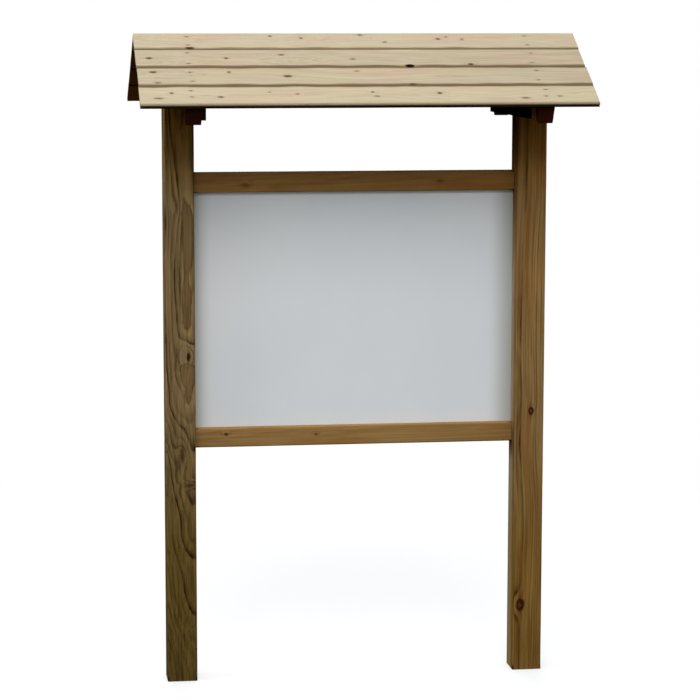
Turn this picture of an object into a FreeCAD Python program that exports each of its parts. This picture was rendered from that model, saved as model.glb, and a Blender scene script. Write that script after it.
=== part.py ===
# Roofed notice board: two posts, two rails, a panel in grooves and a boarded gable roof.
# Millimetres, +Z up, X along the board, front towards -Y.
# The origin lies on the ground, midway between the posts.
import FreeCAD, Part
import os
import Sketcher
from FreeCAD import Placement, Rotation, Vector

doc = FreeCAD.newDocument("RoofedNoticeBoard")

# Driving sizes, in millimetres and degrees
SIZES = [
    ("post_width", "90", "square section of a post"),
    ("post_edge_radius", "5", "rounding of a post's long edges"),
    ("clear_width", "974", "width between the posts"),
    ("sill_height", "770", "ground to the top of the bottom rail"),
    ("sight_height", "710", "height of the panel that shows between the rails"),
    ("rail_height", "60", "height of a rail"),
    ("rail_thickness", "45", "front to back size of a rail"),
    ("rail_edge_radius", "4", "rounding of a rail's long edges"),
    ("panel_thickness", "10", "thickness of the notice panel"),
    ("groove_depth", "13", "depth of the panel groove"),
    ("groove_fit", "0.25", "clearance on each face of panel and tenon"),
    ("groove_gap", "1", "clearance at the end of panel and tenon"),
    ("groove_stop", "8", "solid timber left beyond each end of a post's groove"),
    ("head_gap", "166", "top rail to the tie boards"),
    ("roof_slope", "29", "slope of the roof in degrees"),
    ("gable_overhang", "86", "roof beyond the outer face of a post"),
    ("board_thickness", "14", "thickness of a roof board"),
    ("board_cover", "105", "width that a full roof board covers"),
    ("ridge_cover", "93", "width that the ripped board at the ridge covers"),
    ("board_gap", "0.4", "open joint between two roof boards"),
    ("joint_chamfer", "4.5", "chamfer on each side of a V-joint"),
    ("tongue_length", "6", "tongue of a roof board"),
    ("tongue_thickness", "4", "thickness of a tongue"),
    ("tongue_fit", "0.2", "clearance on each face of a tongue"),
    ("tongue_gap", "1", "clearance at the end of a tongue"),
    ("rafter_depth", "60", "size of a rafter square to the slope"),
    ("rafter_setback", "10", "rafter end up the slope from the eave"),
    ("rafter_edge_radius", "3", "rounding of a rafter's lower edges"),
    ("tie_setback", "12", "end of a tie board to the lower corner of the rafter"),
    ("tie_height", "60", "height of a tie board"),
    ("tie_thickness", "15", "thickness of a tie board"),
    ("tie_roof_gap", "3", "top corner of a tie board to the roof boards"),
    ("screw_diameter", "6", "shank of a screw"),
    ("screw_head", "12", "diameter of a countersunk screw head"),
    ("screw_drive", "4", "recess across the flats in a screw head"),
    ("screw_drive_depth", "2.5", "depth of the recess in a screw head"),
    ("screw_fit", "0.2", "clearance on the diameter of a screw"),
    ("rail_screw_length", "150", "screw from the post into a rail"),
    ("rafter_screw_length", "80", "screw from the post's tongue into a rafter"),
    ("rafter_screw_edge", "22", "rafter screw to the front or back face of the post"),
]

sheet = doc.addObject("Spreadsheet::Sheet", "Size")
for row, (alias, value, note) in enumerate(SIZES, start=1):
    sheet.set(f"A{row}", note)
    sheet.set(f"B{row}", value)
    sheet.setAlias(f"B{row}", alias)
doc.recompute()

# Sizes worked out from the sheet, kept as expressions
INNER_FACE = "(Size.clear_width / 2)"
HALF_POST = "(Size.post_width / 2)"
POST_X = f"({INNER_FACE} + {HALF_POST})"
ROOF_LENGTH = "(Size.clear_width + 2 * Size.post_width + 2 * Size.gable_overhang)"
SLOPE_LENGTH = "(Size.ridge_cover + 3 * Size.board_cover)"
BOARD_DROP = "(Size.board_thickness / cos(Size.roof_slope))"
RAFTER_BOTTOM = "(Size.board_thickness + Size.rafter_depth)"
RAFTER_MIDDLE = "(Size.board_thickness + Size.rafter_depth / 2)"
RAFTER_DROP = f"({RAFTER_BOTTOM} / cos(Size.roof_slope))"
POST_EDGE_FALL = f"({HALF_POST} * tan(Size.roof_slope))"
RAFTER_THICKNESS = HALF_POST
RAFTER_X = f"({INNER_FACE} + {RAFTER_THICKNESS} / 2)"
RAFTER_LENGTH = f"({SLOPE_LENGTH} - Size.rafter_setback)"
RAFTER_TOE = f"({RAFTER_LENGTH} * cos(Size.roof_slope) - {RAFTER_BOTTOM} * sin(Size.roof_slope))"
BOTTOM_RAIL_BOTTOM = "(Size.sill_height - Size.rail_height)"
TOP_RAIL_BOTTOM = "(Size.sill_height + Size.sight_height)"
TOP_RAIL_TOP = f"({TOP_RAIL_BOTTOM} + Size.rail_height)"
TIE_X = "(Size.clear_width / 2 - Size.tie_thickness / 2)"
HALF_TIE = f"({RAFTER_TOE} - Size.tie_setback)"
TIE_BOTTOM = f"({TOP_RAIL_TOP} + Size.head_gap)"
TIE_TOP = f"({TIE_BOTTOM} + Size.tie_height)"
RIDGE = f"({TIE_TOP} + Size.tie_roof_gap + {HALF_TIE} * tan(Size.roof_slope) + {BOARD_DROP})"
RAIL_BACK = HALF_POST
RAIL_FRONT = f"({HALF_POST} - Size.rail_thickness)"
RAIL_Y = f"({HALF_POST} - Size.rail_thickness / 2)"
GROOVE_HALF = "(Size.panel_thickness / 2 + Size.groove_fit)"
TENON_REACH = "(Size.groove_depth - Size.groove_gap)"
SCREW_HOLE = "(Size.screw_diameter + Size.screw_fit)"
SCREW_HEAD_HOLE = "(Size.screw_head + Size.screw_fit)"
COUNTERSINK_ANGLE = 90


def number(expression):
    """Value of an expression in the sheet's sizes."""
    return float(sheet.evalExpression(expression))


# Sketch and feature helpers
def new_body(label):
    body = doc.addObject("PartDesign::Body", label)
    body.Label = label
    return body


def new_sketch(body, name, plane, offset):
    """Empty sketch on one of the body's own planes, moved along its normal."""
    sketch = body.newObject("Sketcher::SketchObject", name)
    support = [feature for feature in body.Origin.OriginFeatures if feature.Role == plane][0]
    sketch.AttachmentSupport = [(support, "")]
    sketch.MapMode = "FlatFace"
    sketch.setExpression("AttachmentOffset.Base.z", offset)
    return sketch


def place_point(sketch, geometry, point, where):
    """Hold one point of the sketch at a pair of expressions."""
    for kind, expression in zip(("DistanceX", "DistanceY"), where):
        constraint = Sketcher.Constraint(kind, -1, 1, geometry, point, number(expression))
        index = sketch.addConstraint(constraint)
        sketch.setExpression(f"Constraints[{index}]", expression)


def outline(body, name, plane, corners, offset="0"):
    """Closed outline through corners that are pairs of expressions."""
    sketch = new_sketch(body, name, plane, offset)
    spots = [Vector(number(across), number(up), 0) for across, up in corners]
    for start, end in zip(spots, spots[1:] + spots[:1]):
        sketch.addGeometry(Part.LineSegment(start, end), False)
    for index, corner in enumerate(corners):
        following = (index + 1) % len(corners)
        sketch.addConstraint(Sketcher.Constraint("Coincident", index, 2, following, 1))
        place_point(sketch, index, 1, corner)
    return sketch


def rectangle(body, name, plane, low, high, offset="0"):
    corners = [(low[0], low[1]), (high[0], low[1]), (high[0], high[1]), (low[0], high[1])]
    return outline(body, name, plane, corners, offset)


def circles(body, name, plane, centres, diameter, offset="0"):
    sketch = new_sketch(body, name, plane, offset)
    for index, centre in enumerate(centres):
        middle = Vector(number(centre[0]), number(centre[1]), 0)
        sketch.addGeometry(Part.Circle(middle, Vector(0, 0, 1), number(diameter) / 2), False)
        place_point(sketch, index, 3, centre)
        constraint = sketch.addConstraint(Sketcher.Constraint("Diameter", index, number(diameter)))
        sketch.setExpression(f"Constraints[{constraint}]", diameter)
    return sketch


def pad(body, sketch, length, midplane=True):
    feature = body.newObject("PartDesign::Pad", sketch.Name + "Pad")
    feature.Profile = sketch
    feature.SideType = "Symmetric" if midplane else "One side"
    feature.setExpression("Length", length)
    doc.recompute()
    return feature


def check_cut(body, before, feature):
    """A cut that points away from the solid removes nothing, which is an error here."""
    doc.recompute()
    if feature.Shape.Volume > before - 1e-3:
        raise RuntimeError(f"{body.Label}: {feature.Name} removes nothing")


def pocket(body, sketch, depth=None, forward=False, midplane=False):
    """Cut against the sketch's normal, or along it with forward; no depth cuts right through."""
    doc.recompute()
    before = body.Shape.Volume
    feature = body.newObject("PartDesign::Pocket", sketch.Name + "Pocket")
    feature.Profile = sketch
    feature.SideType = "Symmetric" if midplane else "One side"
    feature.Type = "ThroughAll" if depth is None else "Length"
    if depth is not None:
        feature.setExpression("Length", depth)
    feature.Reversed = forward
    check_cut(body, before, feature)
    return feature


def round_edges(body, name, radius, chosen):
    """Fillet the edges of the body's last feature that the test picks."""
    base = body.Tip
    edges = [f"Edge{i}" for i, edge in enumerate(base.Shape.Edges, start=1) if chosen(edge)]
    feature = body.newObject("PartDesign::Fillet", name)
    feature.Base = (base, edges)
    feature.setExpression("Radius", radius)
    doc.recompute()
    return feature


def runs_along(direction):
    def chosen(edge):
        start, end = edge.Vertexes[0].Point, edge.Vertexes[-1].Point
        run = end.sub(start)
        return run.Length > 0 and abs(run.normalize().dot(direction)) > 0.999
    return chosen


def drill_countersunk(body, sketch, forward):
    doc.recompute()
    before = body.Shape.Volume
    hole = body.newObject("PartDesign::Hole", "ScrewHoles")
    hole.Profile = sketch
    doc.recompute()
    hole.ThreadType = "None"
    hole.setExpression("Diameter", SCREW_HOLE)
    hole.DepthType = "ThroughAll"
    hole.HoleCutType = "Countersink"
    hole.HoleCutCustomValues = True
    hole.setExpression("HoleCutDiameter", SCREW_HEAD_HOLE)
    hole.HoleCutCountersinkAngle = COUNTERSINK_ANGLE
    hole.Reversed = forward
    check_cut(body, before, hole)


def mirror_across_middle(body, feature):
    before = feature.Shape.Volume
    mirrored = body.newObject("PartDesign::Mirrored", "OtherEnd")
    mirrored.Originals = [feature]
    plane = [origin for origin in body.Origin.OriginFeatures if origin.Role == "YZ_Plane"][0]
    mirrored.MirrorPlane = (plane, [""])
    body.Tip = mirrored
    check_cut(body, before, mirrored)


def place(body, x, y, z):
    body.setExpression("Placement", f"placement(vector({x}; {y}; {z}); rotation(vector(0; 0; 1); 0))")


# Sides, slopes, courses, and the points on a post's outer face where its screws go in
SIDES = {"left": -1, "right": 1}
SLOPES = {"front": -1, "back": 1}
COURSES = (1, 2, 3, 4)
RAFTER_SCREW_Y = f"({HALF_POST} - Size.rafter_screw_edge)"
RAFTER_SCREW_DROP = f"({RAFTER_MIDDLE} / cos(Size.roof_slope) + {RAFTER_SCREW_Y} * tan(Size.roof_slope))"
RAFTER_SCREW_Z = f"({RIDGE} - {RAFTER_SCREW_DROP})"


def rail_screw_height(name):
    """Middle of a rail's tenon, between the panel groove and the end of the post's groove."""
    away_from_panel = "(Size.groove_depth - Size.groove_stop) / 2"
    if name == "bottom":
        return f"({BOTTOM_RAIL_BOTTOM} + Size.rail_height / 2 - {away_from_panel})"
    return f"({TOP_RAIL_BOTTOM} + Size.rail_height / 2 + {away_from_panel})"


RAIL_SCREWS = [(RAIL_Y, rail_screw_height(name)) for name in ("bottom", "top")]
RAFTER_SCREWS = [(f"{slope} * {RAFTER_SCREW_Y}", RAFTER_SCREW_Z) for slope in SLOPES.values()]


# Posts: halved at the top, where the outer half is a tongue behind the rafters
def gable_cut(drop):
    """Region above two slopes that fall from the ridge line, wide enough for a post."""
    apex = f"({RIDGE} - {drop})"
    shoulder = f"({apex} - 2 * {POST_EDGE_FALL})"
    return [
        ("0", apex),
        ("Size.post_width", shoulder),
        ("Size.post_width", RIDGE),
        ("-Size.post_width", RIDGE),
        ("-Size.post_width", shoulder),
    ]


def make_post(name, side):
    body = new_body(f"{name}_post")
    inward = -side
    square = rectangle(body, "Section", "XY_Plane", [f"-{HALF_POST}"] * 2, [HALF_POST] * 2)
    pad(body, square, f"{RIDGE} - {BOARD_DROP}", midplane=False)
    round_edges(body, "Arrises", "Size.post_edge_radius", runs_along(Vector(0, 0, 1)))
    pocket(body, outline(body, "RoofLine", "YZ_Plane", gable_cut(BOARD_DROP)), midplane=True)

    seat_depth = f"{inward} * ({HALF_POST} - {RAFTER_THICKNESS})"
    seat = outline(body, "RafterSeat", "YZ_Plane", gable_cut(RAFTER_DROP), seat_depth)
    pocket(body, seat, forward=inward > 0)

    groove = rectangle(
        body, "PanelGroove", "YZ_Plane",
        (f"{RAIL_Y} - {GROOVE_HALF}", f"{BOTTOM_RAIL_BOTTOM} + Size.groove_stop"),
        (f"{RAIL_Y} + {GROOVE_HALF}", f"{TOP_RAIL_TOP} - Size.groove_stop"),
        f"{inward} * ({HALF_POST} - Size.groove_depth)",
    )
    pocket(body, groove, forward=inward > 0)

    outer_face = f"{side} * {HALF_POST}"
    screws = circles(body, "Screws", "YZ_Plane", RAIL_SCREWS + RAFTER_SCREWS, SCREW_HOLE, outer_face)
    drill_countersunk(body, screws, forward=side < 0)
    place(body, f"{side} * {POST_X}", "0", "0")
    return body


# Rails: grooved for the panel, with stub tenons that enter the grooves of the posts
def make_rail(name, bottom, upward):
    """A rail whose panel groove opens upward or downward."""
    body = new_body(f"{name}_rail")
    top = f"({bottom} + Size.rail_height)"
    section = rectangle(body, "Section", "YZ_Plane", (RAIL_FRONT, bottom), (RAIL_BACK, top))
    pad(body, section, "Size.clear_width")
    round_edges(body, "Arrises", "Size.rail_edge_radius", runs_along(Vector(1, 0, 0)))

    tenon_low = f"({bottom} + Size.groove_stop)" if upward else bottom
    tenon_high = top if upward else f"({top} - Size.groove_stop)"
    tenon = rectangle(
        body, "Tenon", "YZ_Plane",
        (f"{RAIL_Y} - Size.panel_thickness / 2", tenon_low),
        (f"{RAIL_Y} + Size.panel_thickness / 2", tenon_high),
    )
    pad(body, tenon, f"Size.clear_width + 2 * {TENON_REACH}")

    groove_low = f"({top} - Size.groove_depth)" if upward else f"({bottom} - Size.groove_depth)"
    groove = rectangle(
        body, "PanelGroove", "YZ_Plane",
        (f"{RAIL_Y} - {GROOVE_HALF}", groove_low),
        (f"{RAIL_Y} + {GROOVE_HALF}", f"{groove_low} + 2 * Size.groove_depth"),
    )
    pocket(body, groove, midplane=True)

    rail_end = f"({INNER_FACE} + {TENON_REACH})"
    screw_reach = "(Size.rail_screw_length - Size.post_width)"
    pilot = circles(body, "Pilot", "YZ_Plane", [(RAIL_Y, rail_screw_height(name))], SCREW_HOLE, rail_end)
    drilled = pocket(body, pilot, f"{screw_reach} + {TENON_REACH} + Size.screw_fit")
    mirror_across_middle(body, drilled)
    return body


# Panel: stands on the floor of the bottom rail's groove
def make_panel():
    body = new_body("notice_panel")
    half_width = f"({INNER_FACE} + {TENON_REACH})"
    bottom = "(Size.sill_height - Size.groove_depth)"
    top = f"({TOP_RAIL_BOTTOM} + {TENON_REACH})"
    sheet_face = rectangle(body, "Face", "XZ_Plane", (f"-{half_width}", bottom), (half_width, top))
    pad(body, sheet_face, "Size.panel_thickness")
    place(body, "0", RAIL_Y, "0")
    return body


# Roof: boards and rafters share a frame on the ridge line, Y up the slope and Z out of it
def place_on_slope(body, slope, x="0"):
    if slope < 0:
        turn = "rotation(vector(1; 0; 0); Size.roof_slope)"
    else:
        turn = "rotation(vector(0; sin(Size.roof_slope / 2); cos(Size.roof_slope / 2)); 180)"
    body.setExpression("Placement", f"placement(vector({x}; 0; {RIDGE}); {turn})")


def board_edges(course):
    """Distances down the slope where a course starts and ends, the ridge board being course 1."""
    end = f"(Size.ridge_cover + {course - 1} * Size.board_cover)"
    if course == 1:
        return "0", end
    return f"(Size.ridge_cover + {course - 2} * Size.board_cover)", end


def board_profile(course):
    """Section of a tongued, grooved and V-jointed board; the ridge board has a plumb mitre instead."""
    start, end = board_edges(course)
    thickness = "Size.board_thickness"
    middle = "(Size.joint_chamfer + (Size.board_thickness - Size.joint_chamfer) / 2)"
    groove_half = "(Size.tongue_thickness / 2 + Size.tongue_fit)"
    groove_end = f"-{end} + Size.tongue_length + Size.tongue_gap"
    lower_edge = [
        (f"-{end}", f"-{thickness}"),
        (f"-{end}", f"-{middle} - {groove_half}"),
        (groove_end, f"-{middle} - {groove_half}"),
        (groove_end, f"-{middle} + {groove_half}"),
        (f"-{end}", f"-{middle} + {groove_half}"),
        (f"-{end}", "-Size.joint_chamfer"),
        (f"-{end} + Size.joint_chamfer", "0"),
    ]
    if course == 1:
        upper_edge = [("0", "0"), (f"-{thickness} * tan(Size.roof_slope)", f"-{thickness}")]
        return lower_edge + upper_edge
    shoulder = f"-({start} + Size.board_gap)"
    tongue_end = f"{shoulder} + Size.tongue_length"
    upper_edge = [
        (f"{shoulder} - Size.joint_chamfer", "0"),
        (shoulder, "-Size.joint_chamfer"),
        (shoulder, f"-{middle} + Size.tongue_thickness / 2"),
        (tongue_end, f"-{middle} + Size.tongue_thickness / 2"),
        (tongue_end, f"-{middle} - Size.tongue_thickness / 2"),
        (shoulder, f"-{middle} - Size.tongue_thickness / 2"),
        (shoulder, f"-{thickness}"),
    ]
    return lower_edge + upper_edge


def make_board(name, slope, course):
    body = new_body(f"{name}_roof_board_{course}")
    pad(body, outline(body, "Profile", "YZ_Plane", board_profile(course)), ROOF_LENGTH)
    place_on_slope(body, slope)
    return body


def down_the_slope(y, z):
    """Position of a point in the roof's frame, from its distance in front of the ridge and its height."""
    fall = f"({z} - {RIDGE})"
    along = f"(-{y} * cos(Size.roof_slope) + {fall} * sin(Size.roof_slope))"
    outward = f"({y} * sin(Size.roof_slope) + {fall} * cos(Size.roof_slope))"
    return along, outward


def make_rafter(side_name, side, slope_name, slope):
    """A rafter with a plumb cut at the ridge, a square end at the eave and a pilot hole for its screw."""
    body = new_body(f"{side_name}_{slope_name}_rafter")
    outer = side * -slope
    eave = f"-{RAFTER_LENGTH}"
    corners = [
        (eave, "-Size.board_thickness"),
        (eave, f"-{RAFTER_BOTTOM}"),
        (f"-{RAFTER_BOTTOM} * tan(Size.roof_slope)", f"-{RAFTER_BOTTOM}"),
        ("-Size.board_thickness * tan(Size.roof_slope)", "-Size.board_thickness"),
    ]
    pad(body, outline(body, "Profile", "YZ_Plane", corners), RAFTER_THICKNESS)

    lower = number(RAFTER_BOTTOM)
    along_slope = runs_along(Vector(0, 1, 0))
    round_edges(
        body, "Arrises", "Size.rafter_edge_radius",
        lambda edge: along_slope(edge) and abs(edge.CenterOfMass.z + lower) < 1e-3,
    )

    tongue_thickness = f"(Size.post_width - {RAFTER_THICKNESS})"
    screw_depth = f"(Size.rafter_screw_length - {tongue_thickness} + Size.screw_fit)"
    spot = down_the_slope(RAFTER_SCREW_Y, RAFTER_SCREW_Z)
    pilot = circles(body, "Pilot", "YZ_Plane", [spot], SCREW_HOLE, f"{outer} * {RAFTER_THICKNESS} / 2")
    pocket(body, pilot, screw_depth, forward=outer < 0)

    place_on_slope(body, slope, f"{side} * {RAFTER_X}")
    return body


# Tie boards: across the inner face of each post and of its two rafters
def make_tie(name, side):
    body = new_body(f"{name}_tie_board")
    face = rectangle(body, "Face", "YZ_Plane", (f"-{HALF_TIE}", TIE_BOTTOM), (HALF_TIE, TIE_TOP))
    pad(body, face, "Size.tie_thickness")
    place(body, f"{side} * {TIE_X}", "0", "0")
    return body


# Fasteners: one turned shape each, head at the origin and point along -Z, copied to every place
def screw_shape(length):
    """Countersunk wood screw with a hexagonal recess; its thread is left plain."""
    shank, head = number("Size.screw_diameter") / 2, number("Size.screw_head") / 2
    taper = number("Size.screw_diameter")
    profile = [(0, 0), (head, 0), (shank, -(head - shank)), (shank, -length + taper), (0, -length)]
    drive = hexagon(number("Size.screw_drive"), number("Size.screw_drive_depth"))
    return turned(profile).cut(drive)


def turned(profile):
    points = [Vector(radius, 0, height) for radius, height in profile]
    face = Part.Face(Part.makePolygon(points + points[:1]))
    return face.revolve(Vector(0, 0, 0), Vector(0, 0, 1), 360)


def hexagon(across_flats, depth):
    corner = Vector(across_flats / 3 ** 0.5, 0, 0)
    corners = [Rotation(Vector(0, 0, 1), 60 * step).multVec(corner) for step in range(7)]
    return Part.Face(Part.makePolygon(corners)).extrude(Vector(0, 0, -depth))


def fastener_group(label, shape, places):
    """Identical fasteners in one node, each a solid of its own."""
    group = doc.addObject("Part::Feature", label)
    group.Label = label
    copies = []
    for spot in places:
        copy = shape.copy()
        copy.Placement = spot
        copies.append(copy)
    group.Shape = Part.makeCompound(copies)
    return group


def driven(point, direction):
    """Placement of a fastener with its head at the point, driven in along the direction."""
    return Placement(point, Rotation(Vector(0, 0, -1), direction))


def outer_screw_places(centres):
    places = []
    outer_face = number(INNER_FACE) + number("Size.post_width")
    for side in SIDES.values():
        for y, z in centres:
            places.append(driven(Vector(side * outer_face, number(y), number(z)), Vector(-side, 0, 0)))
    return places


# The whole board
parts = [make_post(name, side) for name, side in SIDES.items()]
parts.append(make_rail("top", TOP_RAIL_BOTTOM, upward=False))
parts.append(make_rail("bottom", BOTTOM_RAIL_BOTTOM, upward=True))
parts.append(make_panel())
for side_name, side in SIDES.items():
    parts += [make_rafter(side_name, side, *item) for item in SLOPES.items()]
    parts.append(make_tie(side_name, side))
parts += [make_board(name, slope, course) for name, slope in SLOPES.items() for course in COURSES]

rail_screw = screw_shape(number("Size.rail_screw_length"))
rafter_screw = screw_shape(number("Size.rafter_screw_length"))
parts.append(fastener_group("rail_screws", rail_screw, outer_screw_places(RAIL_SCREWS)))
parts.append(fastener_group("rafter_screws", rafter_screw, outer_screw_places(RAFTER_SCREWS)))
doc.recompute()

# Check everything before a file is written
for item in doc.Objects:
    if "Invalid" in item.State or "Error" in item.State:
        raise RuntimeError(f"{item.Label} did not build: {item.State}")
for part in parts:
    if part.Shape.isNull() or not part.Shape.isValid():
        raise RuntimeError(f"{part.Label} has no valid shape")

os.makedirs("parts", exist_ok=True)
for part in parts:
    part.Shape.exportStep(f"parts/{part.Label}.step")
    print(part.Label, len(part.Shape.Solids), round(part.Shape.Volume))
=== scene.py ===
import math
import random

import bmesh
import bpy
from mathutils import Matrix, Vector, noise


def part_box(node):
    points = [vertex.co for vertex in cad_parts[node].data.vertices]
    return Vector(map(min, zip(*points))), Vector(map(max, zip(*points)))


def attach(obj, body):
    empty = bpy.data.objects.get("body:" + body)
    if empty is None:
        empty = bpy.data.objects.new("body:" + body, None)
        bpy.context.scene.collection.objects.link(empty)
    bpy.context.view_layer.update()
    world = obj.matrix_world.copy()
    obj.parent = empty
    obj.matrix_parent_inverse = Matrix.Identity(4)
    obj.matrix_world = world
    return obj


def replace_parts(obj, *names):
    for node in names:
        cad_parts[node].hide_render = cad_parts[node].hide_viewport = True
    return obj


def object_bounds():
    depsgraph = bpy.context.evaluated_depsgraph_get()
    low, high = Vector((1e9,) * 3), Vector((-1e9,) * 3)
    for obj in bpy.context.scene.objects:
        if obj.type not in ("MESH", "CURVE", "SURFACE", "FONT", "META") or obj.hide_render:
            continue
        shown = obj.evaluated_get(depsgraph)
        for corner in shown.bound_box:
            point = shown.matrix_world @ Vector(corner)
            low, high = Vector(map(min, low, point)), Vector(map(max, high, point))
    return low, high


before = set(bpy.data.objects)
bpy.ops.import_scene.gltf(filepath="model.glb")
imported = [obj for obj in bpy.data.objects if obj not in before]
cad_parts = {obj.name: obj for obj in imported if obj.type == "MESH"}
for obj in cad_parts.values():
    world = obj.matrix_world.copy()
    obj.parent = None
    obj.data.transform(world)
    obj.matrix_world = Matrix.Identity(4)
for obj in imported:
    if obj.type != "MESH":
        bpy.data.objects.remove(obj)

# Looks of the roofed notice board, in metres: +Z up, X along the board, front towards -Y
cad_low, cad_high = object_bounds()
MM = 0.001
UP = Vector((0, 0, 1))
ALONG_X = Vector((1, 0, 0))
ALONG_Y = Vector((0, 1, 0))

# Sizes that the solids share, in millimetres and degrees
ROOF_SLOPE = math.radians(29)
BOARD_THICKNESS = 14
BOARD_COVER = 105
RIDGE_COVER = 93
SIDES = {"left": -1, "right": 1}
SLOPES = {"front": -1, "back": 1}
COURSES = (1, 2, 3, 4)
RIDGE = Vector((0, 0, cad_high.z))


def srgb(red, green, blue):
    """Linear colour of a colour written in the usual 0 to 255 steps."""
    steps = []
    for value in (red, green, blue):
        share = value / 255
        steps.append(share / 12.92 if share <= 0.04045 else ((share + 0.055) / 1.055) ** 2.4)
    return (*steps, 1.0)


def portion(value, start, end):
    """How far a value has come from start to end, held between zero and one."""
    return min(1.0, max(0.0, (value - start) / (end - start)))


# Node graphs
class Graph:
    """Nodes of a material or of the sky, with short calls for the few kinds that are used."""

    def __init__(self, owner):
        self.owner = owner
        owner.use_nodes = True
        self.tree = owner.node_tree
        self.tree.nodes.clear()

    def link(self, value, socket):
        if isinstance(value, bpy.types.NodeSocket):
            self.tree.links.new(value, socket)
        elif value is not None:
            socket.default_value = value

    def node(self, kind, **settings):
        made = self.tree.nodes.new(kind)
        for key, value in settings.items():
            setattr(made, key, value)
        return made

    def math(self, operation, first, second=None, clamp=False):
        made = self.node("ShaderNodeMath", operation=operation, use_clamp=clamp)
        self.link(first, made.inputs[0])
        self.link(second, made.inputs[1])
        return made.outputs[0]

    def add(self, first, second):
        return self.math("ADD", first, second)

    def times(self, first, second):
        return self.math("MULTIPLY", first, second)

    def smooth(self, value, low, high, start=0.0, end=1.0):
        """Soft step of a value between two limits."""
        made = self.node("ShaderNodeMapRange", interpolation_type="SMOOTHSTEP")
        self.link(value, made.inputs["Value"])
        for key, number in (("From Min", low), ("From Max", high), ("To Min", start), ("To Max", end)):
            made.inputs[key].default_value = number
        return made.outputs["Result"]

    def mix(self, share, first, second, blend="MIX"):
        made = self.node("ShaderNodeMix", data_type="RGBA", blend_type=blend)
        self.link(share, made.inputs["Factor"])
        colours = [socket for socket in made.inputs if socket.type == "RGBA"]
        self.link(first, colours[0])
        self.link(second, colours[1])
        return [socket for socket in made.outputs if socket.type == "RGBA"][0]

    def vector(self, x, y, z):
        made = self.node("ShaderNodeCombineXYZ")
        for value, socket in zip((x, y, z), made.inputs):
            self.link(value, socket)
        return made.outputs[0]

    def parts(self, vector):
        made = self.node("ShaderNodeSeparateXYZ")
        self.link(vector, made.inputs[0])
        return made.outputs[:]

    def attribute(self, name):
        made = self.node("ShaderNodeAttribute", attribute_type="GEOMETRY", attribute_name=name)
        return self.parts(made.outputs["Vector"])

    def noise(self, vector, scale, detail):
        made = self.node("ShaderNodeTexNoise", noise_dimensions="3D")
        self.link(vector, made.inputs["Vector"])
        made.inputs["Scale"].default_value = scale
        made.inputs["Detail"].default_value = detail
        return made.outputs[0]

    def ramp(self, value, stops):
        made = self.node("ShaderNodeValToRGB")
        elements = made.color_ramp.elements
        while len(elements) < len(stops):
            elements.new(0.5)
        for element, (position, shade) in zip(elements, stops):
            element.position = position
            element.color = (shade, shade, shade, 1)
        self.link(value, made.inputs[0])
        return made.outputs[0]

    def mix_shaders(self, share, first, second):
        made = self.node("ShaderNodeMixShader")
        for value, socket in zip((share, first, second), made.inputs):
            self.link(value, socket)
        return made.outputs[0]

    def output(self, kind, shader):
        made = self.node(kind)
        self.link(shader, made.inputs["Surface"])
        return self.owner

    def finish(self, colour, roughness, height, bump_depth, **constants):
        shader = self.node("ShaderNodeBsdfPrincipled")
        self.link(colour, shader.inputs["Base Color"])
        self.link(roughness, shader.inputs["Roughness"])
        for key, value in constants.items():
            shader.inputs[key.replace("_", " ")].default_value = value
        bump = self.node("ShaderNodeBump")
        bump.inputs["Strength"].default_value = 1.0
        bump.inputs["Distance"].default_value = bump_depth
        self.link(height, bump.inputs["Height"])
        self.link(bump.outputs[0], shader.inputs["Normal"])
        return self.output("ShaderNodeOutputMaterial", shader.outputs[0])


# Wood: growth rings round a pith line, cut by the faces of each piece
KNOT_LAYERS = ("knot_1", "knot_2", "knot_3")

# Noises of the wood: scale along the grain and across it, both per metre, and detail
KNOT_RIM_NOISE = (90, 130, 2)
SLOW_NOISE = (2.2, 12, 2)
QUICK_NOISE = (14, 60, 2)
FINE_NOISE = (42, 170, 2)
PATCH_NOISE = (7, 50, 2)
FIBRE_NOISE = (16, 900, 3)
STREAK_NOISE = (3.5, 170, 3)
BLUSH_NOISE = (3.0, 22, 3)
SAP_NOISE = (4.5, 31, 3)
TORN_NOISE = (50, 230, 3)
QUICK_SHARE = 0.15
FINE_SHARE = 0.11
TORN_SIZE = 0.8

# Rings: the shade through one ring from early to late wood, and the faintest rings and patches
RING_SHADE = [(0.0, 0.2), (0.25, 0.05), (0.6, 0.45), (0.82, 1.0), (0.93, 0.9), (1.0, 0.2)]
FAINTEST_RING = 0.3
PATCH_STEP = (0.3, 0.62)
FAINTEST_PATCH = 0.35

# Knots: steps over the squared distance in knot sizes, and shares of the colour
KNOT_RAGGED = 1.3
FULL_BEND_TONE = 0.5
BEND_NARROWNESS = 0.25
KNOT_STEP = (1.7, 0.25)
HEART_STEP = (0.55, 0.0)
TAIL_NARROWNESS = (0.3, 2.2)
TAIL_SHARE = 0.55
KNOT_SHARE = 0.95
HEART_SHARE = 0.7
DEEP_KNOT = (1.5, 2.0)

# Other colours: steps over their noise, flame, or stain with painted shading, and shares of the colour
BLUSH_STEP = (0.45, 0.68)
SAP_STEP = (0.48, 0.7)
FLAME_STEP = (0.3, 0.6)
FLAME_SHARE = 0.75
RIM_RISE = (0.2, 0.5)
RIM_FALL = (0.95, 0.6)
RIM_SHARE = 0.3
JOINT_STEP = (0.0, 1.4)
DEEP_STAIN_AND_SHADE = (3.6, 7.0)

# Surface: roughness over fibre and late wood, and how far each stands out
ROUGHNESS_STEP = (0.2, 1.6)
WOOD_ROUGHNESS = (0.7, 0.88)
FIBRE_RELIEF = 0.6
RING_RELIEF = 0.5
KNOT_RELIEF = 0.8


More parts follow.
